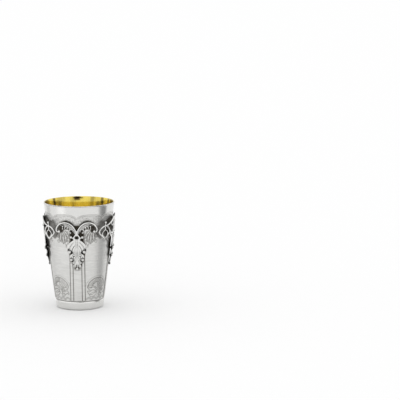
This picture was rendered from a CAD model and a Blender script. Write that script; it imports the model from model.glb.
# %% [markdown]
# # A silver kiddush cup
#
# The cup is a tapered silver beaker, gilt inside, with four pilasters and an applied frieze of four castings.
# The solids of those five pieces come from the frame. Here each is dressed: it is replaced by a finer mesh of the
# same form, with the chasing, the rounded ridges and the veins that a silversmith works last.
# All lengths below are in millimetres, as on a maker's drawing. Blender works in metres, so every finished mesh is
# shrunk by `MM` in one place.

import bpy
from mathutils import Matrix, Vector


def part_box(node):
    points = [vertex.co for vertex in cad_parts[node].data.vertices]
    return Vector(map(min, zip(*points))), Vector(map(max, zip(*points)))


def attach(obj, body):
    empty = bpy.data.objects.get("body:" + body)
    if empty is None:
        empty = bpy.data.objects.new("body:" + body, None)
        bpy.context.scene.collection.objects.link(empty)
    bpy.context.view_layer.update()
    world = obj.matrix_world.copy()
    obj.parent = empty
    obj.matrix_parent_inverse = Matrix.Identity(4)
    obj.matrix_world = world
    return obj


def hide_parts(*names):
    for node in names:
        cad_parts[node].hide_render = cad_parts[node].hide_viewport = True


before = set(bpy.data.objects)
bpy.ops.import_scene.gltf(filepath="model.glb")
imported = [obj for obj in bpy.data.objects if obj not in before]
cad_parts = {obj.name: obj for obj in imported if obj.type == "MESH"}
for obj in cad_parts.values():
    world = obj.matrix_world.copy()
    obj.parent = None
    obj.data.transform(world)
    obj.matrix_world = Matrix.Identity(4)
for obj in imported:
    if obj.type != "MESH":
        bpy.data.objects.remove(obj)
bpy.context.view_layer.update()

import math

import bpy
import numpy as np
from mathutils import Matrix, Vector
from mathutils.bvhtree import BVHTree
from mathutils.kdtree import KDTree

MM = 0.001
low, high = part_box("beaker")
cup_height = high.z / MM
print(f"the cup is {cup_height:.1f} mm tall and {(high.x - low.x) / MM:.1f} mm across")

# %% [markdown]
# ## The camera
#
# A photograph has two facts that a scene must share: how far the camera stood, and which way it looked. The
# rim's ellipse is as flat as a circle seen from 8.7 degrees above, and the front leaf stands a little left of the
# middle, so the camera stood 4.5 degrees round the cup. One point then fixes the rest: the middle of the rim. The
# camera could be dragged until it looks right, but working it out from those values can be checked and repeated.

# %% Place the camera
IMAGE_SIDE = 400
RIM_PIXEL = (79.0, 201.3)
FOCAL_PIXELS = 1700
SENSOR = 36.0
CAMERA_TILT = 8.7
CAMERA_YAW = 0.43
CAMERA_DISTANCE = 1436.6


def place_camera():
    data = bpy.data.cameras.new("camera")
    data.sensor_width = SENSOR
    data.lens = SENSOR * FOCAL_PIXELS / IMAGE_SIDE
    camera = bpy.data.objects.new("camera", data)
    camera.rotation_euler = (math.radians(90 - CAMERA_TILT), 0, math.radians(CAMERA_YAW))
    across = (RIM_PIXEL[0] - IMAGE_SIDE / 2) / FOCAL_PIXELS
    down = (RIM_PIXEL[1] - IMAGE_SIDE / 2) / FOCAL_PIXELS
    ray = camera.rotation_euler.to_matrix() @ Vector((across, -down, -1))
    camera.location = Vector((0, 0, cup_height * MM)) - ray * CAMERA_DISTANCE * MM
    bpy.context.scene.collection.objects.link(camera)
    bpy.context.scene.camera = camera
    return camera


camera = place_camera()
print("the camera stands at", [round(c, 3) for c in camera.location], "metres")

# %% [markdown]
# ## Shader maths as plain sums
#
# A finish is a small network of nodes. Drawn by hand, it soon becomes a tangle, so here a socket is wrapped in a
# class that knows how to be added and multiplied: `1 - polish * 0.5` makes its own Math nodes. Everything else
# comes from one method, `node`, which takes the node's type, its settings and what goes into its sockets.


# %% A socket that can be used in sums
class Link:
    """One output of a shader node."""

    def __init__(self, finish, socket):
        self.finish = finish
        self.socket = socket

    def math(self, operation, first, second):
        return self.finish.node("ShaderNodeMath", {"operation": operation}, {0: first, 1: second})

    def __add__(self, other):
        return self.math("ADD", self, other)

    def __sub__(self, other):
        return self.math("SUBTRACT", self, other)

    def __rsub__(self, other):
        return self.math("SUBTRACT", other, self)

    def __mul__(self, other):
        return self.math("MULTIPLY", self, other)

    __radd__ = __add__
    __rmul__ = __mul__


# %% A finish, built node by node
class Finish:
    """One material: its Principled shader, and the nodes that feed it."""

    def __init__(self, name, **constants):
        self.material = bpy.data.materials.new(name)
        self.material.use_nodes = True
        self.tree = self.material.node_tree
        self.shader = self.tree.nodes["Principled BSDF"]
        for socket, value in constants.items():
            self.shader.inputs[socket.replace("_", " ")].default_value = value

    def node(self, kind, settings=None, sockets=None, output=0):
        made = self.tree.nodes.new(kind)
        for name, value in (settings or {}).items():
            if name == "stops":
                ramp = made.color_ramp.elements
                while len(ramp) < len(value):
                    ramp.new(0.5)
                for element, (position, colour) in zip(ramp, value):
                    element.position = position
                    element.color = (*colour, 1)
            else:
                setattr(made, name, value)
        for socket, value in (sockets or {}).items():
            self.join(made.inputs[socket], value)
        return Link(self, made.outputs[output])

    def join(self, socket, value):
        if isinstance(value, Link):
            self.tree.links.new(value.socket, socket)
        elif socket.type == "RGBA":
            socket.default_value = (*value, 1)
        else:
            socket.default_value = value

    def feed(self, **sockets):
        for name, value in sockets.items():
            self.join(self.shader.inputs[name.replace("_", " ")], value)

    def painted(self, name):
        """A value that was worked out for each vertex of the mesh."""
        return self.node("ShaderNodeAttribute", {"attribute_name": name}, output="Fac")

    def where(self):
        """The place on the object, in millimetres."""
        place = self.node("ShaderNodeTexCoord", output="Object")
        return self.node("ShaderNodeVectorMath", {"operation": "SCALE"}, {0: place, "Scale": 1 / MM})

    def noise(self, scale, detail=2.0, roughness=0.5, at=None):
        """Cloudy variation, with features about 1 / scale millimetres apart."""
        return self.node(
            "ShaderNodeTexNoise",
            None,
            {"Vector": at or self.where(), "Scale": scale, "Detail": detail, "Roughness": roughness},
            output="Fac",
        )

    def blend(self, share, first, second):
        """From the first colour to the second as the share goes from 0 to 1."""
        mixed = self.node(
            "ShaderNodeMix", {"data_type": "RGBA"}, {0: share, 6: first, 7: second}, output=2
        )
        return mixed

    def bump(self, height, depth, normal=None):
        """Relief too fine for the mesh, as deep as that many millimetres."""
        sockets = {"Height": height, "Distance": depth * MM, "Strength": 1.0}
        if normal:
            sockets["Normal"] = normal
        return self.node("ShaderNodeBump", None, sockets)


print("shader helpers are ready")

# %% [markdown]
# ## The stage and the light
#
# Silver has hardly any colour of its own: it shows its surroundings. So most of its look is made here, before any
# metal. The floor and the soft white world give the even grey of the walls, since a wall that leans out looks down
# at the floor. Flags and cards that only reflections can see then draw the darker and the brighter bands.

# %% Floor, world and view
FLOOR_SIDE = 40.0
FLOOR_WHITE = 0.85
WORLD_WHITE = 1.17


def make_floor():
    mesh = bpy.data.meshes.new("floor")
    half = FLOOR_SIDE / 2
    mesh.from_pydata([(-half, -half, 0), (half, -half, 0), (half, half, 0), (-half, half, 0)], [], [(0, 1, 2, 3)])
    floor = bpy.data.objects.new("floor", mesh)
    bpy.context.scene.collection.objects.link(floor)
    paper = Finish("pale paper", Roughness=0.9)
    tone = FLOOR_WHITE + 0.004 * (paper.noise(0.05) - 0.5)
    paper.feed(Base_Color=paper.node("ShaderNodeCombineColor", None, {0: tone, 1: tone, 2: tone}))
    paper.shader.inputs["Specular IOR Level"].default_value = 0.0
    mesh.materials.append(paper.material)
    return floor


def make_world():
    world = bpy.data.worlds.new("soft white room")
    world.use_nodes = True
    sky = world.node_tree.nodes["Background"]
    sky.inputs["Color"].default_value = (1, 1, 1, 1)
    sky.inputs["Strength"].default_value = WORLD_WHITE
    bpy.context.scene.world = world


make_floor()
make_world()
bpy.context.scene.view_settings.view_transform = "Standard"
print("floor and world are ready")

# %% Flags and cards that only reflections see
# Each is (name, angle round the cup from the front, half-width in degrees, distance of its foot and of its head,
# height of its foot and of its head, brightness)
CAMERA_ANGLE = 4.5
CARD_EDGE = 1.0
CARDS = [
    ("dark_flag", CAMERA_ANGLE + 76, 17, 50, 130, 1, 100, 0.3),
    ("side_flag", CAMERA_ANGLE - 112, 14, 60, 130, 1, 100, 0.75),
    ("light_card", CAMERA_ANGLE - 57, 16, 110, 130, 30, 100, 1.22),
    ("dark_room_in_front", CAMERA_ANGLE + 3, 20, 400, 400, 168, 400, 0.0),
]


def make_card(name, angle, spread, near, far, bottom, top, brightness):
    turn = math.radians(angle)
    outward = Vector((math.sin(turn), -math.cos(turn), 0))
    aside = Vector((math.cos(turn), math.sin(turn), 0))
    wide = math.tan(math.radians(spread))
    corners = []
    for distance, height, side in ((near, bottom, -1), (near, bottom, 1), (far, top, 1), (far, top, -1)):
        corners.append((outward * distance + aside * distance * wide * side + Vector((0, 0, height))) * MM)
    mesh = bpy.data.meshes.new(name)
    mesh.from_pydata(corners, [], [(0, 1, 2, 3)])
    edges = mesh.attributes.new("across", "FLOAT", "POINT")
    edges.data.foreach_set("value", [-1.0, 1.0, 1.0, -1.0])
    card = bpy.data.objects.new(name, mesh)
    bpy.context.scene.collection.objects.link(card)
    glow = Finish(name, Base_Color=(0, 0, 0, 1), Roughness=1.0)
    across = glow.painted("across")
    square = across * across
    tone = brightness + (CARD_EDGE - brightness) * square * square
    glow.feed(Emission_Color=glow.node("ShaderNodeCombineColor", None, {0: tone, 1: tone, 2: tone}))
    glow.shader.inputs["Emission Strength"].default_value = 1.0
    glow.shader.inputs["Specular IOR Level"].default_value = 0.0
    mesh.materials.append(glow.material)
    card.visible_camera = False
    card.visible_shadow = False
    card.visible_diffuse = False


for card in CARDS:
    make_card(*card)
print(len(CARDS), "cards stand round the cup")

# %% [markdown]
# ## The beaker's form
#
# A silversmith raises or spins the beaker from one sheet, so its wall is a smooth turned form. The formula below
# is the one that the solid follows: a straight taper, a slight belly and a lip that flares. Working with a formula
# keeps the fine mesh exactly on the solid, where a mesh drawn by eye would drift from it.

# %% Sizes of the beaker
RIM_RADIUS = 30.0
WALL = 0.9
FLOOR = 1.4
WAIST_RADIUS = 20.6
BELLY = 0.45
LIP_FLARE = 0.35
LIP_HEIGHT = 7.0
FOOT_BAND = 7.2
FOOT_TUCK = 0.35
FOOT_ROUND = 2.2
FOOT_RING = 3.2
FOOT_HOLLOW = 0.5
SIDES = 4
QUARTER = 2 * math.pi / SIDES


def share(value, low, high):
    """Where a value lies between two others, kept from 0 to 1."""
    return np.clip((value - low) / (high - low), 0, 1)


def wall_radius(z):
    t = share(z, FOOT_BAND, cup_height)
    taper = WAIST_RADIUS + (RIM_RADIUS - LIP_FLARE - WAIST_RADIUS) * t
    flare = LIP_FLARE * share(z, cup_height - LIP_HEIGHT, cup_height) ** 2
    return taper + 4 * BELLY * t * (1 - t) + flare


print("wall radius at the foot, the middle and the rim:", [round(float(wall_radius(z)), 2) for z in (8, 45, 90)])

# %% [markdown]
# ## The frieze's own surface
#
# The castings are soldered on like a belt that stands off the wall and swings out at the four corners. It is
# easiest to draw them flat, as on paper, with a distance along the belt and a height, and to let one function
# wrap that drawing round the cup.

# %% Wrap a flat drawing round the cup
FRIEZE_LEVEL = 69.5
FRIEZE_BOTTOM = 61.6
FRIEZE_LEAN = 0.06
STANDOFF = 1.4
CORNER_THROW = 4.0
JOINT_GAP = 0.3
LEAF_TOP = 62.3
LEAF_LENGTH = 26.0
LEAF_HALF = 7.6
LEAF_TIP_STANDOFF = 1.1

girth = float(wall_radius(FRIEZE_LEVEL)) + STANDOFF + CORNER_THROW / 2
corner_reach = girth * QUARTER / 2


def frieze_radius(angle, z):
    thrown = CORNER_THROW * (1 - np.cos(SIDES * angle)) / 2
    top = float(wall_radius(FRIEZE_LEVEL)) + STANDOFF
    upright = top + FRIEZE_LEAN * (np.maximum(z, FRIEZE_BOTTOM) - FRIEZE_LEVEL)
    down = share(LEAF_TOP - z, 0, LEAF_LENGTH)
    at_top = upright - float(wall_radius(FRIEZE_BOTTOM))
    hanging = wall_radius(z) + at_top + (LEAF_TIP_STANDOFF - at_top) * down**4 + thrown * (1 - down)
    return np.where(z >= FRIEZE_BOTTOM, upright + thrown, hanging)


def place(points):
    """Points of (along, height, lift) on the belt, as points in space."""
    along, z, lift = np.asarray(points, float).T
    angle = along / girth
    radius = frieze_radius(angle, z) + lift
    return np.column_stack([radius * np.sin(angle), -radius * np.cos(angle), z])


print(f"the belt's corners are {corner_reach:.1f} mm from the middle of each side")

# %% [markdown]
# ## Ridges, beads and leaflets
#
# A caster's wax is built up from rolls and drops: a rounded roll for each scroll, a bead for each eye, a thin
# tongue for each leaflet. Each is a closed tube here, swept along a smooth curve. They overlap freely, because
# the next step melts them into one skin, as the wax is.


# %% Smooth curves and swept rolls
def smooth(points, count, closed=False):
    """That many points along a smooth curve through the given ones."""
    points = np.array([(*p, 0.0)[:3] for p in points], float)
    pieces = len(points) if closed else len(points) - 1
    along = np.linspace(0, pieces, count, endpoint=not closed)
    k = np.minimum(along.astype(int), pieces - 1)
    t = (along - k)[:, None]
    if closed:
        a, b, c, d = (points[(k + step) % pieces] for step in (-1, 0, 1, 2))
    else:
        a, b, c, d = (points[np.clip(k + step, 0, pieces)] for step in (-1, 0, 1, 2))
    curve = 2 * b + (c - a) * t + (2 * a - 5 * b + 4 * c - d) * t**2 + (3 * b - a - 3 * c + d) * t**3
    return curve / 2


def away_from(line, here):
    """How far each place is from a line, and how far along the line its nearest point lies, from 0 to 1."""
    best = np.full(len(here), 1e9)
    along = np.zeros(len(here))
    for k, (start, end) in enumerate(zip(line, line[1:])):
        run = end - start
        t = np.clip((here - start) @ run / (run @ run), 0, 1)
        away = np.linalg.norm(here - start - t[:, None] * run, axis=1)
        along = np.where(away < best, (k + t) / (len(line) - 1), along)
        best = np.minimum(away, best)
    return best, along


class Wax:
    """Shapes laid on the belt, to be melted into one casting."""

    def __init__(self):
        self.points = []
        self.faces = []
        self.total = 0

    def keep(self, points, faces):
        self.points.append(points)
        self.faces += [[corner + self.total for corner in face] for face in faces]
        self.total += len(points)

    def roll(self, path, wide, deep, ends=1.0, closed=False, sides=12, gutter=0.0, step=0.35, taper=None):
        """A rounded roll along a path of (along, height, lift), with a gutter sunk along its crest."""
        rough = place(smooth(path, 60, closed))
        length = np.linalg.norm(np.diff(rough, axis=0), axis=1).sum()
        count = max(6, int(length / step))
        centres = place(smooth(path, count, closed))
        if closed:
            tangents = np.roll(centres, -1, 0) - np.roll(centres, 1, 0)
            swell = np.ones(count)
        else:
            tangents = np.gradient(centres, axis=0)
            position = np.linspace(0, 1, count)
            swell = ends + (1 - ends) * np.sin(math.pi * position)
            if taper:
                swell = np.interp(position, np.linspace(0, 1, len(taper)), taper)
        tangents /= np.linalg.norm(tangents, axis=1)[:, None]
        outward = centres * (1, 1, 0)
        outward /= np.linalg.norm(outward, axis=1)[:, None]
        outward -= tangents * (outward * tangents).sum(1)[:, None]
        outward /= np.linalg.norm(outward, axis=1)[:, None]
        sideways = np.cross(tangents, outward)
        turn = 2 * math.pi * np.arange(sides) / sides + math.pi / 2
        crest = 1 - gutter * np.exp(-(((turn - math.pi / 2 + math.pi) % (2 * math.pi) - math.pi) / 0.5) ** 2)
        ring = (np.cos(turn) * wide)[None, :, None] * sideways[:, None, :]
        ring = ring + (np.sin(turn) * crest * deep)[None, :, None] * outward[:, None, :]
        points = centres[:, None, :] + ring * swell[:, None, None]
        rings = list(range(count))
        pairs = list(zip(rings, rings[1:]))
        faces = []
        if closed:
            pairs.append((rings[-1], 0))
        else:
            caps = [centres[0] - tangents[0] * deep * swell[0] * 0.7, centres[-1] + tangents[-1] * deep * swell[-1] * 0.7]
            start, end = count * sides, count * sides + 1
            for k in range(sides):
                following = (k + 1) % sides
                faces.append((start, following, k))
                faces.append((end, (count - 1) * sides + k, (count - 1) * sides + following))
        for one, two in pairs:
            for k in range(sides):
                following = (k + 1) % sides
                faces.append((one * sides + k, one * sides + following, two * sides + following, two * sides + k))
        flat = points.reshape(-1, 3)
        if not closed:
            flat = np.vstack([flat, caps])
        self.keep(flat, faces)

    def both(self, path, *sizes, **settings):
        """The same roll on both sides of the middle."""
        for side in (1, -1):
            self.roll([(side * p[0], *p[1:]) for p in path], *sizes, **settings)

    def bead(self, along, z, radius, lift=0.0):
        """A ball on the belt, from rings of latitude."""
        centre = place([(along, z, lift)])[0]
        rows, columns = 8, 14
        points = [centre + (0, 0, radius), centre - (0, 0, radius)]
        faces = []
        for i in range(1, rows):
            polar = math.pi * i / rows
            for k in range(columns):
                turn = 2 * math.pi * k / columns
                flat = radius * math.sin(polar)
                points.append(centre + (flat * math.cos(turn), flat * math.sin(turn), radius * math.cos(polar)))
        for k in range(columns):
            following = (k + 1) % columns
            faces.append((0, 2 + k, 2 + following))
            last = 2 + (rows - 2) * columns
            faces.append((1, last + following, last + k))
            for i in range(rows - 2):
                one, two = 2 + i * columns, 2 + (i + 1) * columns
                faces.append((one + k, two + k, two + following, one + following))
        self.keep(np.array(points), faces)


print("wax tools are ready")

# %% [markdown]
# ## One skin
#
# The rolls are melted together with a voxel remesh, which fills space with tiny cubes and skins them. A Boolean
# union would keep every seam sharp, and a casting has none: metal that has run into a mould has soft inside
# corners. A little smoothing then takes off the stairs that the cubes leave.

# %% Melt the wax into one mesh
VOXEL = 0.17
SMOOTHING_ROUNDS = 4


def melt(wax, name):
    mesh = bpy.data.meshes.new(name)
    mesh.from_pydata(np.vstack(wax.points), [], wax.faces)
    rough = bpy.data.objects.new(name + "_wax", mesh)
    bpy.context.scene.collection.objects.link(rough)
    skin = rough.modifiers.new("skin", "REMESH")
    skin.mode = "VOXEL"
    skin.voxel_size = VOXEL
    soften = rough.modifiers.new("soften", "SMOOTH")
    soften.factor = 0.5
    soften.iterations = SMOOTHING_ROUNDS
    graph = bpy.context.evaluated_depsgraph_get()
    melted = bpy.data.meshes.new_from_object(rough.evaluated_get(graph))
    melted.name = name
    bpy.data.objects.remove(rough)
    melted.shade_smooth()
    return melted


print("casting in cubes of", VOXEL, "mm")

# %% [markdown]
# ## The hanging leaf
#
# Under each casting hangs an acanthus leaf. Its lobes leave the midrib in pairs, bow out and curl forward at their
# tips, where polishing leaves them brightest. Each lobe is a tongue with a gutter along it and a bead for its
# curled tip. Cutting the outline from a flat sheet would be quicker, but would lose the lobes' overlap.

# %% Hang an acanthus leaf
RIDGE_HALF = 0.85
RIDGE_DEPTH = 0.7
BALL_RADIUS = 1.15
CLASP_LENGTH = 4.0
SCROLL_BASE = 63.5
SCROLL_RISE = 12.8
LOOP_RISE = 15.0
LOBE_BOW = 0.35
LOBE_CURL = 0.8
# Each pair of lobes: where it leaves the midrib, how far it reaches, where its tip lies, and its width, as shares
# of the leaf's length and half-width
LOBES = [
    (0.00, 0.96, 0.28, 0.19),
    (0.04, 0.92, 0.41, 0.26),
    (0.20, 0.44, 0.52, 0.24),
    (0.32, 0.72, 0.67, 0.23),
    (0.50, 0.42, 0.80, 0.17),
    (0.60, 0.36, 0.93, 0.16),
]
# The pairs whose tips curl forward into a ball
CURLED = (1, 3)
# A lobe's width from root to tip, as shares of its widest
LOBE_TAPER = [0.55, 0.8, 1.0, 1.05, 1.0, 0.85]


def on_leaf(across, down, lift=0.0):
    return (across * LEAF_HALF, LEAF_TOP - down * LEAF_LENGTH, lift)


def lobe_spine(root, reach, tip):
    """The middle line of a lobe. The last ones lie flat on the pilaster."""
    flat = share(tip, 0.7, 0.9)
    bow = LOBE_BOW * (1 - flat)
    return [
        on_leaf(0.02, root),
        on_leaf(0.48 * reach, root + 0.34 * (tip - root), bow),
        on_leaf(0.86 * reach, root + 0.70 * (tip - root), 0.7 * bow),
        on_leaf(0.97 * reach, tip, 0.6 * LOBE_CURL * (1 - flat) - 0.2 * flat),
    ]


def hang_leaf(wax):
    midrib = [on_leaf(0, down, 0.3 - 0.55 * down) for down in np.linspace(0, 0.97, 6)]
    wax.roll(midrib, 0.6, 0.8, taper=[0.9, 1, 0.9, 0.8, 0.8])
    for side in (1, -1):
        vein = [on_leaf(side * 0.15, down, 0.1 - 0.1 * down) for down in np.linspace(0.02, 0.8, 6)]
        wax.roll(vein, 0.5, 0.55, taper=[0.6, 1, 1, 0.8, 0.4])
    wax.both([(0.3, LEAF_TOP - 1.8), (3.2, SCROLL_BASE)], RIDGE_HALF, 0.9 * RIDGE_DEPTH)
    for k, (root, reach, tip, width) in enumerate(LOBES):
        spine = lobe_spine(root, reach, tip)
        wax.both(spine, width * LEAF_HALF, 0.8 * RIDGE_DEPTH, taper=LOBE_TAPER, gutter=0.5)
        if k in CURLED:
            for side in (1, -1):
                wax.bead(side * spine[-1][0], spine[-1][1], 0.75 * width * LEAF_HALF, spine[-1][2])
    wax.bead(0, LEAF_TOP - 0.975 * LEAF_LENGTH, 1.1, 0)


print(len(LOBES), "pairs of lobes on each leaf")

# %% [markdown]
# ## The scroll castings
#
# At the front and the back a pair of C-scrolls meets over the leaf. The spine of each is a short list of points in
# shares of its reach and rise. A leaf with teeth grows along the inside of the arch.

# %% Draw the C-scrolls
CARTOUCHE_HALF = 5.5
CARTOUCHE_TOP = 72.8
CARTOUCHE_RISE = 10.5
CARTOUCHE_RIDGE = 0.72
BEAD_RADIUS = 1.05
BEAD_STEM = 3.0
C_SCROLL = [
    (0.29, 0.05), (0.21, 0.00), (0.12, 0.08), (0.04, 0.29), (0.08, 0.51), (0.19, 0.73), (0.345, 0.91),
    (0.53, 1.00), (0.70, 0.98), (0.865, 0.87), (0.975, 0.68), (1.00, 0.50), (0.95, 0.41), (0.87, 0.43),
]
SCROLL_LEAF = [(0.10, 0.42), (0.22, 0.62), (0.36, 0.77), (0.53, 0.83), (0.68, 0.76)]
SCROLL_HOOK = [(0.07, 0.40), (0.20, 0.57), (0.33, 0.56), (0.38, 0.42), (0.31, 0.36)]
TOOTH_HEADS = [(0.44, 0.80), (0.56, 0.82), (0.67, 0.77)]
TOOTH_DROP = 2.4
# The ribs along the inside of the arch: how far in, and from where to where along it
SHEATH_RIBS = [(1.2, 0.22, 0.68), (2.05, 0.28, 0.62), (2.9, 0.36, 0.56)]


def scaled(path, width, base, rise):
    """A path in shares of a width and a rise, as distances on the belt."""
    return [(x * width, base + z * rise) for x, z in path]


def beside(path, distance, start=0.0, end=1.0, count=14):
    """Part of a smooth path, moved sideways on the belt by a distance."""
    fine = smooth(path, 200)
    ahead = np.gradient(fine, axis=0)
    ahead /= np.linalg.norm(ahead, axis=1)[:, None]
    moved = fine + distance * np.column_stack([ahead[:, 1], -ahead[:, 0], np.zeros(len(fine))])
    chosen = np.linspace(start * 199, end * 199, count).astype(int)
    return [tuple(moved[i]) for i in chosen]


def scroll_wax():
    wax = Wax()
    reach = corner_reach - CARTOUCHE_HALF - CARTOUCHE_RIDGE - JOINT_GAP - RIDGE_HALF
    arch = scaled(C_SCROLL, reach, SCROLL_BASE, SCROLL_RISE)
    wax.both(arch, 0.8 * RIDGE_HALF, 1.1 * RIDGE_DEPTH, ends=0.85)
    for distance, start, end in SHEATH_RIBS:
        wax.both(beside(arch, distance, start, end), 0.36, 0.7, ends=0.5)
    wax.both(scaled(SCROLL_LEAF, reach, SCROLL_BASE, SCROLL_RISE), RIDGE_HALF, 0.45, ends=0.6)
    hook = scaled(SCROLL_HOOK, reach, SCROLL_BASE, SCROLL_RISE)
    wax.both(hook, 0.55 * RIDGE_HALF, 0.85 * RIDGE_DEPTH, ends=0.9)
    for x, z in scaled(TOOTH_HEADS, reach, SCROLL_BASE, SCROLL_RISE):
        tooth = [(x, z), (x + 0.25 * TOOTH_DROP, z - TOOTH_DROP)]
        wax.both(tooth, 0.55 * RIDGE_HALF, 0.7 * RIDGE_DEPTH, gutter=0.4)
    curl = scaled(SCROLL_LEAF, reach, SCROLL_BASE, SCROLL_RISE)[-1]
    for side in (1, -1):
        wax.bead(side * arch[0][0], arch[0][1], BALL_RADIUS, 0.15)
        wax.bead(side * arch[-1][0], arch[-1][1], BALL_RADIUS)
        wax.bead(side * hook[-1][0], hook[-1][1], 0.85, 0.35)
        wax.bead(side * curl[0], curl[1], 0.85, 0.35)
    clasp = arch[3][1]
    wax.roll([(0, clasp - CLASP_LENGTH / 2), (0, clasp + CLASP_LENGTH / 2)], RIDGE_HALF, RIDGE_DEPTH, ends=0.8)
    hang_leaf(wax)
    return wax


scroll_mesh = melt(scroll_wax(), "scroll_casting")
print("scroll casting:", len(scroll_mesh.polygons), "faces")

# %% [markdown]
# ## The gallery castings
#
# At the sides a pair of taller open loops carries the same leaf, and at each corner the casting ends in a pierced
# cartouche with a bead above it.

# %% Draw the loops and cartouches
LOOP = [
    (0.185, 0.06), (0.12, 0.00), (0.065, 0.09), (0.025, 0.28), (0.06, 0.60), (0.15, 0.88), (0.28, 1.00),
    (0.42, 0.98), (0.57, 0.88), (0.72, 0.77), (0.86, 0.67),
]
LOOP_VOLUTE = [(0.63, 0.17), (0.46, 0.13), (0.32, 0.25), (0.285, 0.46), (0.37, 0.62), (0.49, 0.56)]
LOOP_LEAF = [(0.66, 0.03), (0.52, -0.02), (0.42, 0.14)]
LOOP_STRUTS = [
    [(0.37, 0.60), (0.43, 0.78), (0.37, 0.98)],
    [(0.30, 0.42), (0.17, 0.51), (0.05, 0.44)],
    [(0.48, 0.55), (0.60, 0.62), (0.68, 0.79)],
    [(0.14, 0.03), (0.24, 0.12), (0.36, 0.20)],
]
CORNER = 3
FRAME = [(0.0, 1.0), (0.42, 0.93), (0.80, 0.76), (1.0, 0.54), (0.80, 0.37), (0.42, 0.17), (0.0, 0.0)]
INNER_LOOP = [(0.0, 0.68), (0.36, 0.58), (0.50, 0.38), (0.30, 0.17), (0.0, 0.08)]


def in_cartouche(points):
    return scaled(points, CARTOUCHE_HALF, CARTOUCHE_TOP - CARTOUCHE_RISE, CARTOUCHE_RISE)


def cartouche(wax, centre):
    for half, size in ((FRAME, 0.9 * CARTOUCHE_RIDGE), (INNER_LOOP, 0.6 * CARTOUCHE_RIDGE)):
        mirrored = [(-x, z) for x, z in reversed(half[1:-1])]
        outline = [(centre + x, z) for x, z in in_cartouche(half + mirrored)]
        wax.roll(outline, size, CARTOUCHE_RIDGE, closed=True)
    bar_foot = in_cartouche(INNER_LOOP)[0][1]
    bead = CARTOUCHE_TOP + BEAD_STEM
    wax.roll([(centre, bar_foot), (centre, bead)], 0.5 * BEAD_RADIUS, 0.6 * BEAD_RADIUS)
    wax.bead(centre, bead, BEAD_RADIUS, 0.15)


def gallery_wax():
    wax = Wax()
    out, corner_height = in_cartouche(FRAME)[CORNER]
    corner = (corner_reach - out, corner_height)
    loop = [*scaled(LOOP, corner_reach, SCROLL_BASE, LOOP_RISE), (corner_reach, CARTOUCHE_TOP)]
    wax.both(loop, 0.78 * RIDGE_HALF, RIDGE_DEPTH, ends=0.85)
    wax.both(beside(loop, 1.1, 0.34, 0.8), 0.34, 0.6, ends=0.4)
    volute = [corner, *scaled(LOOP_VOLUTE, corner_reach, SCROLL_BASE, LOOP_RISE)]
    wax.both(volute, 0.85 * RIDGE_HALF, 0.9 * RIDGE_DEPTH, ends=0.9)
    leaf = [corner, *scaled(LOOP_LEAF, corner_reach, SCROLL_BASE, LOOP_RISE)]
    wax.both(leaf, 1.2 * RIDGE_HALF, 0.75 * RIDGE_DEPTH, ends=0.6, gutter=0.4)
    for path in LOOP_STRUTS:
        wax.both(scaled(path, corner_reach, SCROLL_BASE, LOOP_RISE), 0.8 * RIDGE_HALF, 0.7 * RIDGE_DEPTH)
    for side in (1, -1):
        wax.bead(side * loop[0][0], loop[0][1], BALL_RADIUS)
        wax.bead(side * volute[-1][0], volute[-1][1], BALL_RADIUS)
        cartouche(wax, side * corner_reach)
        wax.bead(side * corner[0], corner[1], 0.9, 0.15)
        wax.bead(side * (2 * corner_reach - corner[0]), corner[1], 0.9, 0.15)
    clasp = loop[3][1]
    wax.roll([(0, clasp - CLASP_LENGTH / 2), (0, clasp + CLASP_LENGTH / 2)], RIDGE_HALF, RIDGE_DEPTH, ends=0.8)
    hang_leaf(wax)
    return wax


gallery_mesh = melt(gallery_wax(), "gallery_casting")
print("gallery casting:", len(gallery_mesh.polygons), "faces")

# %% [markdown]
# ## A map of the frieze
#
# The dark of old silver gathers wherever something higher stands close by. To know how high the castings stand
# anywhere, their points are dropped into the cells of a map of the belt, angle across and height up, like a
# plaster squeeze of the frieze. One half of the belt is enough, because the other half repeats it.

# %% Map how far the castings stand out
MAP_COLUMNS = 320
MAP_STEP = 0.3
MAP_BOTTOM = 30.0
MAP_ROWS = 170
NOTHING = -2.0
SLIT_DEPTH = 0.45
HALF_TURN = math.pi


def mesh_points(mesh):
    points = np.empty(len(mesh.vertices) * 3)
    mesh.vertices.foreach_get("co", points)
    return points.reshape(-1, 3)


def map_cells(angle, z):
    column = np.rint((angle % HALF_TURN) / HALF_TURN * MAP_COLUMNS).astype(int) % MAP_COLUMNS
    row = np.clip(np.rint((z - MAP_BOTTOM) / MAP_STEP).astype(int), 0, MAP_ROWS - 1)
    return row, column


def belt_places(points):
    """Angle round the cup, height, and how far in front of the belt's middle each point lies."""
    angle = np.arctan2(points[:, 0], -points[:, 1])
    z = points[:, 2]
    lift = np.hypot(points[:, 0], points[:, 1]) - frieze_radius(angle, z)
    return angle, z, lift


def spread(values, rounds, take):
    """Each cell takes something from its neighbours, as many times as told."""
    for _ in range(rounds):
        for axis in (0, 1):
            values = take(take(values, np.roll(values, 1, axis)), np.roll(values, -1, axis))
    return values


def soften(values, rounds):
    for _ in range(rounds):
        for axis in (0, 1):
            values = (2 * values + np.roll(values, 1, axis) + np.roll(values, -1, axis)) / 4
    return values


def slits_between(lines, here, width, clear):
    """How far in a slit each place lies: halfway between two lines, and clear of both by that much."""
    away = np.sort([away_from(line, here)[0] for line in lines], axis=0)[:2]
    return (1 - share(away[1] - away[0], width / 4, width)) * share(away[0], *clear) * (away[1] < 2.2)


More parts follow.
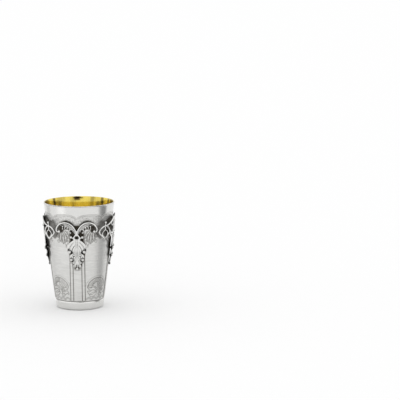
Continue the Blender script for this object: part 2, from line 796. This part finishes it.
def leaf_slits(here):
    lines = []
    for root, reach, tip, _ in LOBES:
        line = smooth(lobe_spine(root, reach, tip), 16)[:, :2]
        lines += [line, line * (-1, 1)]
    between = slits_between(lines, here, 0.6, (0.3, 0.8)) * share(np.abs(here[:, 0]), 1.4, 2.6)
    away = np.min([away_from(line[4:], here)[0] for line in lines], axis=0)
    beside_rib = np.exp(-(((np.abs(here[:, 0]) - 0.8) / 0.25) ** 2)) * share(here[:, 1], 42, 46)
    veins = np.maximum(np.exp(-((away / 0.25) ** 2)), beside_rib) * (0.3 + 0.35 * share(LEAF_TOP - here[:, 1], 5, 12))
    return np.maximum(between, veins)


def sheath_slits(here):
    reach = corner_reach - CARTOUCHE_HALF - CARTOUCHE_RIDGE - JOINT_GAP - RIDGE_HALF
    arch = scaled(C_SCROLL, reach, SCROLL_BASE, SCROLL_RISE)
    lines = [smooth(arch, 80)[:, :2]]
    for distance, start, end in SHEATH_RIBS:
        lines.append(np.array(beside(arch, distance, start, end))[:, :2])
    mirrored = np.abs(here[:, :1])
    return slits_between(lines, np.hstack([mirrored, here[:, 1:]]), 0.45, (0.2, 0.4))


def cut_slits(mesh, cutters):
    """Sinks the slits that each cutter finds, and returns how far in one each point lies."""
    points = mesh_points(mesh)
    angle, z, lift = belt_places(points)
    here = np.column_stack([angle * girth, z])
    slit = np.zeros(len(points))
    for cutter, bottom, top in cutters:
        chosen = (z > bottom) & (z < top) & (lift > -0.2)
        slit[chosen] = cutter(here[chosen])
    outward = points * (1, 1, 0)
    outward /= np.linalg.norm(outward, axis=1)[:, None]
    points -= outward * (SLIT_DEPTH * slit * share(lift, -0.1, 0.3))[:, None]
    mesh.vertices.foreach_set("co", points.ravel())
    mesh.update()
    return slit


leaf_cutter = (leaf_slits, LEAF_TOP - LEAF_LENGTH - 2, LEAF_TOP)
slits = [cut_slits(scroll_mesh, [leaf_cutter, (sheath_slits, LEAF_TOP, 90)]), cut_slits(gallery_mesh, [leaf_cutter])]
crests = np.full((MAP_ROWS, MAP_COLUMNS), NOTHING)
for mesh, turn in ((scroll_mesh, 0.0), (gallery_mesh, QUARTER)):
    angle, z, lift = belt_places(mesh_points(mesh))
    np.maximum.at(crests, map_cells(angle + turn, z), lift)
covered = (crests > NOTHING).astype(float)
closed = spread(spread(covered, 9, np.maximum), 8, np.minimum)
shaded = share(soften(closed, 4), 0.15, 0.8)
halo = 0.6 * share(soften(closed, 24), 0.02, 0.5)
nearby = soften(spread(crests, 3, np.maximum), 3)
print(f"the castings cover {covered.mean():.0%} of the map")

# %% [markdown]
# ## The beaker's chased surface
#
# The outside is a fine grid: columns round the cup and rows up it. Every grid point is pushed in or out by the sum
# of what the chaser did there. Rows are crowded where there is much to see and far apart on plain metal.

# %% Lay the grid
COLUMNS = 640
INSIDE_COLUMNS = 320
# Heights at which the rows' spacing changes, and how many rows lie between one and the next
ROW_BANDS = [(8.6, 46), (31, 8), (57, 26), (69, 8), (76, 26), (84, 6), (89.75, 0)]
SHAFT_HALF = 3.6
SHAFT_HEIGHT = 0.25
REED_WIDTH = 2.6
REED_HEIGHT = 0.6
PILASTER_TOP = 68.0
BAND_GROOVE = 0.3
BAND_GROOVE_WIDTH = 0.8
EDGE_BREAK = 0.25


def row_heights():
    rows = []
    for (start, count), (end, _) in zip(ROW_BANDS, ROW_BANDS[1:]):
        rows += list(np.linspace(start, end, count, endpoint=False))
    return np.array([*rows, ROW_BANDS[-1][0]])


heights = row_heights()
angles = 2 * math.pi * np.arange(COLUMNS) / COLUMNS
print(len(heights), "rows of", COLUMNS, "columns")


# %% [markdown]
# ## The chaser's marks
#
# Chasing is done with blunt punches: a line is a groove, and a leaf is left standing while the ground round it is
# beaten down. Each mark here is a path on the unrolled panel. A point of the grid looks up how far it is from the
# path, and that distance gives the groove's or the leaf's profile. The panel between two pilasters is worked once
# and repeated round the cup.


# %% Punches and liners
class Panel:
    """The unrolled wall between the middles of two pilasters, with what has been done to each grid point."""

    def __init__(self, angle, z):
        self.x = (angle - QUARTER / 2) * wall_radius(z)
        self.z = z
        self.relief = np.zeros_like(self.x)
        self.dark = np.zeros_like(self.x)
        self.matt = np.zeros_like(self.x)
        self.stipple = np.zeros_like(self.x)

    def near(self, path, widths):
        """The grid points near a path, their distance from it, and the path's half-width beside them."""
        line = smooth(path, 4 * len(path))[:, :2]
        margin = max(widths) * 2 + 0.8
        inside = (self.x > line[:, 0].min() - margin) & (self.x < line[:, 0].max() + margin)
        inside &= (self.z > line[:, 1].min() - margin) & (self.z < line[:, 1].max() + margin)
        away, along = away_from(line, np.column_stack([self.x[inside], self.z[inside]]))
        return inside, away, np.interp(along, np.linspace(0, 1, len(widths)), widths)

    def groove(self, path, half=0.3, depth=0.22, dark=0.68):
        """A line sunk with a liner, dark at its bottom and with a low burr on both sides."""
        inside, away, _ = self.near(path, [half])
        sunk = np.exp(-((away / half) ** 2))
        burr = np.exp(-(((away - 2.2 * half) / half) ** 2))
        self.relief[inside] -= depth * sunk - 0.3 * depth * burr
        self.dark[inside] = np.maximum(self.dark[inside], dark * sunk)

    def lobe(self, path, widths, height=0.36, dark=0.68, vein=0.5):
        """A leaf or petal left standing, veined down its middle, with a dark line round it."""
        inside, away, half = self.near(path, widths)
        across = away / half
        dome = np.sqrt(np.clip(1 - across**2, 0, 1))
        dome *= 1 - vein * np.exp(-((across / 0.25) ** 2))
        edge = np.exp(-(((away - half - 0.12) / 0.24) ** 2))
        self.relief[inside] = np.maximum(self.relief[inside] - 0.12 * edge, height * dome)
        self.dark[inside] = np.maximum(self.dark[inside] * (across > 1), dark * edge)

    def both(self, tool, path, *sizes, **settings):
        """The same mark on both halves of the panel."""
        for side in (1, -1):
            tool([(side * x, z) for x, z in path], *sizes, **settings)


per_quarter = COLUMNS // SIDES
grid_angle, grid_z = np.meshgrid(angles[:per_quarter], heights)
panel = Panel(grid_angle, grid_z)
print("a panel of", grid_angle.size, "grid points")

# %% Pilasters
def chase_pilasters(panel):
    radius = wall_radius(panel.z)
    across = QUARTER / 2 * radius - np.abs(panel.x)
    standing = panel.z < PILASTER_TOP
    shaft = SHAFT_HEIGHT * share(SHAFT_HALF - across, -0.1, 0.1)
    reed = np.clip((across - SHAFT_HALF) / REED_WIDTH, 0, 1)
    top = share(PILASTER_TOP + 0.6 - panel.z, 0, 0.6)
    panel.relief += (shaft + REED_HEIGHT * np.sin(math.pi * reed)) * top
    for line in (SHAFT_HALF, SHAFT_HALF + REED_WIDTH):
        panel.dark = np.maximum(panel.dark, 0.9 * np.exp(-(((across - line) / 0.32) ** 2)) * standing)
    panel.matt = share(across, SHAFT_HALF + REED_WIDTH, SHAFT_HALF + REED_WIDTH + 0.5) * standing


chase_pilasters(panel)
print("pilasters stand", REED_HEIGHT, "mm proud")

# %% [markdown]
# ## Scallops under the rim
#
# Eight shallow arches run round the cup under the plain lip, their points over the pilasters and the corners. A
# double line draws them, and the ground below is stippled with a pointed punch.

# %% Chase the scallops
SCALLOPS_PER_SIDE = 2
SCALLOP_CUSP = 79.0
SCALLOP_PEAK = 82.8
SCALLOP_LINE_GAP = 1.0


def scallop_height(angle):
    """How high the upper line of the scallops runs."""
    span = QUARTER / SCALLOPS_PER_SIDE
    position = (angle % span) / span * 2 - 1
    return SCALLOP_CUSP + (SCALLOP_PEAK - SCALLOP_CUSP) * np.sqrt(1 - np.abs(position) ** 2.4)


def chase_scallops(panel, angle):
    above = panel.z - scallop_height(angle)
    for line in (0.0, -SCALLOP_LINE_GAP):
        sunk = np.exp(-(((above - line) / 0.26) ** 2))
        panel.relief -= 0.16 * sunk
        panel.dark = np.maximum(panel.dark, 0.5 * sunk)
    between = np.exp(-(((above + SCALLOP_LINE_GAP / 2) / 0.3) ** 2))
    panel.relief += 0.12 * between
    panel.matt = np.maximum(panel.matt, share(-above, SCALLOP_LINE_GAP, SCALLOP_LINE_GAP + 0.3))
    panel.stipple = share(-above, SCALLOP_LINE_GAP, SCALLOP_LINE_GAP + 0.3) * share(panel.z, 73.5, 76.5)


chase_scallops(panel, grid_angle)
print(SCALLOPS_PER_SIDE * SIDES, "scallops")

# %% [markdown]
# ## Sprays behind the scrolls
#
# A spray of leaves is chased on the wall below each arch of the frieze, so that the openwork seems to grow out of
# it. Its lobes fan out from a root behind the arch.

# %% Chase the sprays
SPRAY_LOBES = [
    [(-10.2, 69.5), (-12.9, 66.6), (-14.2, 63.2)],
    [(-9.6, 69.0), (-11.4, 64.4), (-12.0, 60.0)],
    [(-8.8, 68.6), (-9.4, 63.6), (-9.2, 58.2)],
    [(-7.8, 68.6), (-7.2, 64.2), (-6.4, 60.2)],
    [(-7.0, 69.0), (-5.0, 66.4), (-3.6, 63.6)],
]
SPRAY_TENDRILS = [
    [(-12.8, 61.4), (-13.4, 58.6), (-11.6, 57.0), (-10.4, 58.4)],
    [(-6.0, 59.6), (-4.0, 58.6), (-3.2, 60.2), (-4.6, 61.0)],
]
def leaflets_on(path, length):
    """Small lobes that branch to both sides of a lobe's middle line."""
    line = smooth(path, 20)[:, :2]
    found = []
    for k in (5, 10, 14):
        run = (line[k + 1] - line[k]) / np.linalg.norm(line[k + 1] - line[k])
        for side in (1, -1):
            aim = 0.72 * run + 0.69 * side * np.array([-run[1], run[0]])
            start = line[k] + 0.5 * aim
            found.append([tuple(start), tuple(start + length * aim)])
    return found


for path in SPRAY_LOBES:
    for leaflet in leaflets_on(path, 1.7):
        panel.both(panel.lobe, leaflet, [0.35, 0.5, 0.2], 0.3, dark=0.75)
    panel.both(panel.lobe, path, [0.45, 0.7, 0.65, 0.25], 0.42, dark=0.85)
for path in SPRAY_TENDRILS:
    panel.both(panel.groove, path, 0.26, 0.16, dark=0.6)
print(len(SPRAY_LOBES), "lobes in each spray")

# %% [markdown]
# ## The shell at the foot of each panel
#
# Low on each panel a shell-like arch spreads from pilaster to pilaster. One half holds leaves and a small round
# flower, the other a trellis, which is how such lopsided ornament is usually filled. Below it runs a row of
# lunettes.

# %% Chase the shell
SHELL_HALF = 9.3
SHELL_BASE = 19.6
SHELL_RISE = 8.2
SHELL_RIBS = 9
TRELLIS_PITCH = 1.9
FLOWER = (3.0, 17.8)
FLOWER_RADIUS = 1.9
PETALS = 6


def shell_arch(size, start=0.0, end=180.0, count=13):
    """Points over an arch, as large as that share of the shell, between two angles from its right end."""
    turns = np.radians(np.linspace(start, end, count))
    return [(SHELL_HALF * size * math.cos(t), SHELL_BASE + SHELL_RISE * size * math.sin(t)) for t in turns]


def chase_shell(panel):
    for k in range(SHELL_RIBS):
        turn = 92 + 84 * (k + 0.5) / SHELL_RIBS
        inner = shell_arch(0.62, turn, turn, 1)[0]
        outer = shell_arch(0.9, turn, turn, 1)[0]
        panel.lobe([inner, outer], [0.45, 0.85], vein=0.2)
    panel.groove(shell_arch(1.0), 0.32, 0.24)
    panel.groove(shell_arch(1.2, 8, 172), 0.24, 0.1, dark=0.35)
    panel.groove(shell_arch(0.56, 92, 176, 8), 0.26, 0.18)
    for along in np.arange(0.6, SHELL_HALF - 0.5, TRELLIS_PITCH):
        for lean in (1, -1):
            foot, head = SHELL_BASE - 0.4, SHELL_BASE + SHELL_RISE
            line = [(along + lean * (z - SHELL_BASE - 3) * 0.8, z) for z in np.linspace(foot, head, 12)]
            kept = [(x, z) for x, z in line if x > 0.6 and (x / SHELL_HALF) ** 2 + ((z - SHELL_BASE) / SHELL_RISE) ** 2 < 0.85]
            if len(kept) > 1:
                panel.groove(kept, 0.2, 0.12, dark=0.5)
    panel.groove([(0.2, SHELL_BASE - 0.6), (0.2, SHELL_BASE + SHELL_RISE - 0.6)], 0.24, 0.16)


chase_shell(panel)
print(SHELL_RIBS, "ribs in each shell")

# %% Chase the leaves, the flower and the lunettes
FOOT_LEAVES = [
    [(-1.0, 17.0), (-3.6, 18.6), (-6.6, 18.2), (-8.6, 20.4)],
    [(-1.4, 16.0), (-4.4, 16.4), (-7.0, 15.0), (-8.6, 16.6)],
    [(-0.6, 15.0), (-2.6, 13.4), (-5.2, 12.4), (-6.6, 13.6)],
    [(4.8, 17.0), (6.4, 18.8), (8.2, 18.4)],
    [(3.4, 15.4), (5.4, 14.6), (7.6, 15.8), (8.8, 14.4)],
]
SCROLLS = [
    [(-0.4, 18.6), (-1.8, 20.2), (-3.6, 20.6), (-4.6, 22.2), (-3.4, 23.4), (-2.4, 22.4)],
    [(3.2, 15.6), (1.8, 13.4), (3.4, 11.8), (5.2, 12.8), (4.6, 14.2), (3.6, 13.6)],
]
LUNETTES = 4
LUNETTE_FOOT = 8.8
LUNETTE_RISE = 2.4


def chase_foot(panel):
    for path in FOOT_LEAVES:
        panel.lobe(path, [0.4, 0.95, 0.85, 0.3])
    for path in SCROLLS:
        panel.groove(path, 0.28, 0.2)
    for k in range(PETALS):
        turn = 2 * math.pi * k / PETALS
        aim = np.array([math.cos(turn), math.sin(turn)])
        start, end = np.array(FLOWER) + 0.5 * aim, np.array(FLOWER) + (FLOWER_RADIUS - 0.4) * aim
        panel.lobe([tuple(start), tuple(end)], [0.4, 0.7], 0.36, vein=0.0)
    panel.lobe([FLOWER, (FLOWER[0] + 0.05, FLOWER[1])], [0.5], 0.45, vein=0.0)
    half_panel = QUARTER / 2 * float(wall_radius(LUNETTE_FOOT)) - SHAFT_HALF - REED_WIDTH - 0.3
    half_arc = half_panel / LUNETTES
    for k in range(LUNETTES):
        centre = (2 * k + 1 - LUNETTES) * half_arc
        for size, dark in ((0.94, 0.6), (0.6, 0.45)):
            turns = np.radians(np.linspace(0, 180, 9))
            arc = [(centre + half_arc * size * math.cos(t), LUNETTE_FOOT + LUNETTE_RISE * size * math.sin(t)) for t in turns]
            panel.groove(arc, 0.22, 0.12, dark=dark)


chase_foot(panel)
relief = np.tile(panel.relief, (1, SIDES))
recess = np.tile(panel.dark, (1, SIDES))
everywhere, level = np.meshgrid(angles, heights)
cells = map_cells(everywhere, level)
reached = 1 - 0.4 * ((1 - np.cos(SIDES * everywhere)) / 2) ** 4
behind = np.maximum(shaded[cells] * reached, halo[cells] * share(level, 71, 75))
recess = np.maximum(recess, behind * share(level, MAP_BOTTOM + 2, MAP_BOTTOM + 4) * share(-level, -80, -78))
matt = np.tile(panel.matt, (1, SIDES))
stipple = np.tile(panel.stipple, (1, SIDES))
print("relief from", round(float(relief.min()), 2), "to", round(float(relief.max()), 2), "mm")


# %% Build the beaker's mesh
def paint(mesh, name, values):
    """Writes one value for each vertex, for the finishes to read."""
    mesh.attributes.new(name, "FLOAT", "POINT").data.foreach_set("value", values)


def ring(radius, z, turns):
    return np.column_stack([radius * np.sin(turns), -radius * np.cos(turns), np.full(len(turns), z)])


def foot_rows():
    """Radius and height down the foot band and under it."""
    waist = float(wall_radius(FOOT_BAND))
    rows = [(waist, 8.1), (waist - 0.18, 7.85), (waist - BAND_GROOVE, 7.6), (waist - 0.18, 7.35), (waist, 7.15)]
    bend = waist - FOOT_TUCK - FOOT_ROUND
    rows += [(waist - FOOT_TUCK * k / 4, 7.15 - (7.15 - FOOT_ROUND) * k / 4) for k in range(1, 4)]
    for turn in np.linspace(0, math.pi / 2, 9):
        rows.append((bend + FOOT_ROUND * math.cos(turn), FOOT_ROUND * (1 - math.sin(turn))))
    rows.append((bend - FOOT_RING, 0.0))
    rows.append((bend - FOOT_RING - FOOT_HOLLOW, FOOT_HOLLOW))
    return rows


def inside_rows():
    """Radius and height from the rim down to the floor's edge."""
    rows = [(RIM_RADIUS - WALL, cup_height - EDGE_BREAK)]
    stained = np.linspace(cup_height - 1, cup_height - 5, 5)
    rows += [(float(wall_radius(z)) - WALL, z) for z in (*stained, *np.linspace(cup_height - 10, FOOT_BAND, 12))]
    bend = float(wall_radius(FOOT_BAND)) - FOOT_TUCK - WALL - FOOT_ROUND
    floor = FOOT_HOLLOW + FLOOR
    for turn in np.linspace(math.pi / 2, 0, 7):
        rows.append((bend + FOOT_ROUND * math.sin(turn), floor + FOOT_ROUND * (1 - math.cos(turn))))
    return rows


# Where the gilding has browned under the rim: angle from the front and half-width in degrees, how much, and from
# which height up
STAINS = [
    (110, 9, 0.8, 66), (124, 3, 0.6, 66), (141, 3.4, 0.75, 66), (161, 3.5, 0.5, 66), (188, 5.5, 1.0, 86),
    (232, 3, 0.8, 66), (260, 11, 0.85, 66),
]
STAIN_EDGE = 1.2


def stains(turns, z):
    brown = np.zeros(len(turns))
    for angle, half, much, bottom in STAINS:
        across = np.exp(-(((np.degrees(turns) - angle) / half) ** 6))
        brown = np.maximum(brown, much * across * share(z, bottom, bottom + STAIN_EDGE))
    return brown


def beaker_mesh():
    points, faces, materials, darkness, dullness, dotted = [], [], [], [], [], []
    rings = []

    def add_ring(circle, dark=0.0, dull=0.0, dots=0.0):
        rings.append((sum(len(p) for p in points), len(circle)))
        points.append(circle)
        darkness.append(np.zeros(len(circle)) + dark)
        dullness.append(np.zeros(len(circle)) + dull)
        dotted.append(np.zeros(len(circle)) + dots)

    for radius, z in reversed(foot_rows()):
        groove = share(BAND_GROOVE_WIDTH / 2 - abs(z - 7.6), 0, 0.3) if z > 7 else 0.0
        add_ring(ring(radius, z, angles), float(groove))
    for row, z in enumerate(heights):
        add_ring(ring(wall_radius(z) + relief[row], z, angles), recess[row], matt[row], stipple[row])
    add_ring(ring(RIM_RADIUS, cup_height - EDGE_BREAK, angles))
    add_ring(ring(RIM_RADIUS - EDGE_BREAK, cup_height, angles))
    inner_angles = angles[:: COLUMNS // INSIDE_COLUMNS]
    outer_last = len(rings) - 1
    add_ring(ring(RIM_RADIUS - WALL + EDGE_BREAK, cup_height, inner_angles))
    for radius, z in inside_rows():
        add_ring(ring(radius, z, inner_angles), stains(inner_angles, z), share(z, 62, 80))
    for i, ((low_start, low_count), (start, count)) in enumerate(zip(rings, rings[1:])):
        gilt = int(i > outer_last)
        if low_count == count:
            for k in range(count):
                following = (k + 1) % count
                faces.append((low_start + k, low_start + following, start + following, start + k))
                materials.append(gilt)
        else:
            each = low_count // count
            for k in range(count):
                fan = [low_start + (k * each + j) % low_count for j in range(each + 1)]
                faces.append((*fan, start + (k + 1) % count, start + k))
                materials.append(gilt)
    first_start, first_count = rings[0]
    faces.append(tuple(first_start + k for k in reversed(range(first_count))))
    materials.append(0)
    last_start, last_count = rings[-1]
    faces.append(tuple(last_start + k for k in range(last_count)))
    materials.append(1)
    mesh = bpy.data.meshes.new("beaker_chased")
    mesh.from_pydata(np.vstack(points), [], faces)
    mesh.polygons.foreach_set("material_index", materials)
    paint(mesh, "patina", np.concatenate(darkness))
    paint(mesh, "matt", np.concatenate(dullness))
    paint(mesh, "stipple", np.concatenate(dotted))
    mesh.shade_smooth()
    return mesh


beaker_form = beaker_mesh()
print("beaker:", len(beaker_form.polygons), "faces")

# %% [markdown]
# ## Finishes
#
# Silver is a metal, so its colour is what it reflects. Bright crests are buffed, and the recesses keep a dark
# oxide, which is painted here by a value worked out for every vertex.


# %% Silver and gilt
def silver(name, roughness, oxide):
    finish = Finish(name, Metallic=1.0)
    patina = finish.painted("patina")
    matt = finish.painted("matt")
    cloud = finish.noise(0.35, 4)
    grain = finish.noise(2.6, 3, 0.7)
    flattened = finish.node("ShaderNodeVectorMath", {"operation": "MULTIPLY"}, {0: finish.where(), 1: (0.15, 0.15, 1.1)})
    brushed = finish.noise(1.0, 3, 0.6, at=flattened)
    pits = finish.painted("stipple") * (1.2 - 2.2 * finish.noise(1.5, 1))
    dark = patina * (0.85 + 0.3 * grain) + matt * (0.10 * grain + 0.42 * (brushed - 0.45)) + 0.7 * pits
    worn = finish.blend(cloud, (0.70, 0.70, 0.685), (0.76, 0.755, 0.735))
    colour = finish.blend(dark, worn, oxide)
    finish.feed(
        Base_Color=colour,
        Roughness=roughness + 0.06 * (cloud - 0.5) + 0.25 * patina + 0.16 * matt,
        Normal=finish.bump(matt * (grain + 0.6 * brushed) + 0.2 * finish.noise(1.2, 2) - 0.8 * pits, 0.1),
    )
    return finish.material


def gilding():
    finish = Finish("gilt inside", Metallic=0.8)
    squeezed = finish.node("ShaderNodeVectorMath", {"operation": "MULTIPLY"}, {0: finish.where(), 1: (1, 1, 0.06)})
    streak = finish.noise(0.16, 3, 0.6, at=squeezed)
    cloud = finish.noise(0.2, 3)
    near_rim = finish.painted("matt")
    stained = near_rim * ((0.5 - streak) * 4 + 0.15)
    worn = finish.blend(stained, (0.78, 0.62, 0.13), (0.38, 0.29, 0.07))
    colour = finish.blend(finish.painted("patina"), worn, (0.06, 0.035, 0.015))
    finish.feed(Base_Color=colour, Roughness=0.07 + 0.06 * cloud)
    return finish.material


polished = silver("polished silver", 0.2, (0.055, 0.048, 0.036))
cast = silver("cast silver", 0.24, (0.012, 0.011, 0.010))
gilt = gilding()
print("finishes:", polished.name, cast.name, gilt.name)

# %% [markdown]
# ## Patina on the castings
#
# A caster dips the frieze in a sulphur bath, which blackens it all over, and then buffs it. The wheel reaches the
# crests and misses what lies below them and what faces sideways. Both can be read off the map, so the dark falls
# in the same places as on a worn casting. Painting it by hand would follow the drawing less closely.


# %% Darken what a buffing wheel misses
def oxidise(mesh, turn, slit):
    normals = np.empty(len(mesh.vertices) * 3)
    mesh.vertices.foreach_get("normal", normals)
    points = mesh_points(mesh)
    angle, z, lift = belt_places(points)
    outward = points * (1, 1, 0)
    outward /= np.linalg.norm(outward, axis=1)[:, None]
    facing = (normals.reshape(-1, 3) * outward).sum(1)
    below = nearby[map_cells(angle + turn, z)] - lift
    aside = 1 - share(np.abs(facing), 0, 0.6) * np.where(facing > 0, 1, 0.4)
    dark = np.maximum(share(below, 0.35, 0.95), aside)
    paint(mesh, "patina", np.maximum(dark, share(slit, 0.2, 0.8)))
    paint(mesh, "matt", np.zeros(len(points)))
    paint(mesh, "stipple", np.zeros(len(points)))


# %% Put every piece in its place
def set_piece(name, mesh, node, turn=0.0):
    own = mesh.copy()
    own.name = name
    own.transform(Matrix.Rotation(turn, 4, "Z") @ Matrix.Scale(MM, 4))
    piece = bpy.data.objects.new(name, own)
    bpy.context.scene.collection.objects.link(piece)
    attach(piece, "root")
    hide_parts(node)
    return piece


for mesh, turn, slit in ((scroll_mesh, 0.0, slits[0]), (gallery_mesh, QUARTER, slits[1])):
    oxidise(mesh, turn, slit)
    mesh.materials.append(cast)
beaker_form.materials.append(polished)
beaker_form.materials.append(gilt)
set_piece("chased_beaker", beaker_form, "beaker")
CASTINGS = [("front_scroll", scroll_mesh), ("right_gallery", gallery_mesh), ("back_scroll", scroll_mesh),
            ("left_gallery", gallery_mesh)]
for quarter, (name, mesh) in enumerate(CASTINGS):
    piece = set_piece(name + "_casting", mesh, name + "_mount", quarter * QUARTER)
    print(piece.name, "stands for", name + "_mount")
